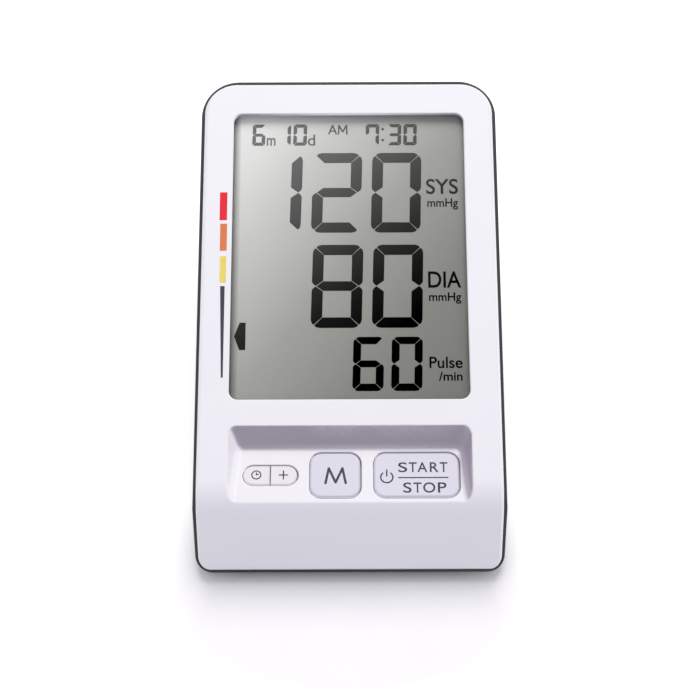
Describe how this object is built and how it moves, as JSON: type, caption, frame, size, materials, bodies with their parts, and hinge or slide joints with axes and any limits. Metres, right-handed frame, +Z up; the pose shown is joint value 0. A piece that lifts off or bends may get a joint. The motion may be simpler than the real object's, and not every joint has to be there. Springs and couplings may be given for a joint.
{
  "type": "blood pressure monitor",
  "caption": "Desk-top arm-cuff blood pressure monitor with a sloping display panel, a scooped button well, a sliding battery door and side sockets for air and power.",
  "frame": {"origin": "middle of the footprint's bounding box, on the table under the feet", "axes": "+X to the user's right, +Y away from the user towards the high rear edge, +Z up"},
  "size_m": [0.1038, 0.1561, 0.0743],
  "materials": {
    "case_white": "satin moulded white",
    "case_dark": "fine moulded texture",
    "window_clear": "clear polished pane",
    "lcd_glass": "grey reflective display",
    "inner_plastic": "plain moulding",
    "elastomer_grey": "banded elastomer",
    "board_green": "solder mask",
    "chip_black": "black package",
    "sensor_white": "white package",
    "ribbon_grey": "flat ribbon",
    "screw_steel": "zinc plated",
    "contact_nickel": "nickel plated",
    "strap_steel": "bent sheet",
    "motor_can": "bright can",
    "pump_black": "black moulding",
    "sleeve_rubber": "soft black",
    "hose_silicone": "milky tube",
    "socket_grey": "moulded grey",
    "inlet_black": "black block with a bright pin",
    "battery_wrap": "plain wrapped cell",
    "foot_rubber": "soft black",
    "key_lavender": "satin moulded",
    "key_white": "satin moulded",
    "plunger_black": "black button"
  },
  "bodies": {
    "housing": {"upper_case": "case_white", "lower_case": "case_dark", "display_window": "window_clear", "lcd_panel": "lcd_glass", "lcd_frame": "inner_plastic", "air_manifold": "inner_plastic", "contact_strip": "elastomer_grey", "main_board": "board_green", "key_board": "board_green", "main_chip": "chip_black", "buzzer": "chip_black", "time_switch": "chip_black", "plus_switch": "chip_black", "memory_switch": "chip_black", "start_switch": "chip_black", "pressure_sensor": "sensor_white", "ribbon_cable": "ribbon_grey", "case_screws": "screw_steel", "board_screws": "screw_steel", "key_board_screws": "screw_steel", "strap_screws": "screw_steel", "contact_positive": "contact_nickel", "contact_negative": "contact_nickel", "contact_front_bridge": "contact_nickel", "contact_rear_left": "contact_nickel", "contact_rear_right": "contact_nickel", "pump_strap": "strap_steel", "exhaust_valve": "strap_steel", "pump_motor": "motor_can", "pump_head": "pump_black", "pump_sleeve": "sleeve_rubber", "leak_valve": "sleeve_rubber", "socket_gasket": "sleeve_rubber", "pump_hose": "hose_silicone", "valve_hose": "hose_silicone", "sensor_hose": "hose_silicone", "socket_hose": "hose_silicone", "cuff_socket": "socket_grey", "dc_inlet": "inlet_black", "battery_1": "battery_wrap", "battery_2": "battery_wrap", "battery_3": "battery_wrap", "battery_4": "battery_wrap", "foot_front_left": "foot_rubber", "foot_front_right": "foot_rubber", "foot_rear_left": "foot_rubber", "foot_rear_right": "foot_rubber"},
    "battery_door": {"battery_door": "case_dark"},
    "time_button": {"time_key": "key_white", "time_plunger": "plunger_black"},
    "plus_button": {"plus_key": "key_white", "plus_plunger": "plunger_black"},
    "memory_button": {"memory_key": "key_lavender", "memory_plunger": "plunger_black"},
    "start_button": {"start_key": "key_lavender", "start_plunger": "plunger_black"}
  },
  "joints": [
    {"name": "battery_door_slide", "type": "slide", "parent": "housing", "child": "battery_door", "axis": [0, 1, 0], "range_m": [0, 0.055]},
    {"name": "time_press", "type": "slide", "parent": "housing", "child": "time_button", "axis": [0, 0.1132, -0.9936], "range_m": [0, 0.0006], "stiffness_N_per_m": 2500},
    {"name": "plus_press", "type": "slide", "parent": "housing", "child": "plus_button", "axis": [0, 0.1132, -0.9936], "range_m": [0, 0.0006], "stiffness_N_per_m": 2500},
    {"name": "memory_press", "type": "slide", "parent": "housing", "child": "memory_button", "axis": [0, 0.1132, -0.9936], "range_m": [0, 0.0006], "stiffness_N_per_m": 2500},
    {"name": "start_press", "type": "slide", "parent": "housing", "child": "start_button", "axis": [0, 0.1132, -0.9936], "range_m": [0, 0.0006], "stiffness_N_per_m": 2500}
  ]
}
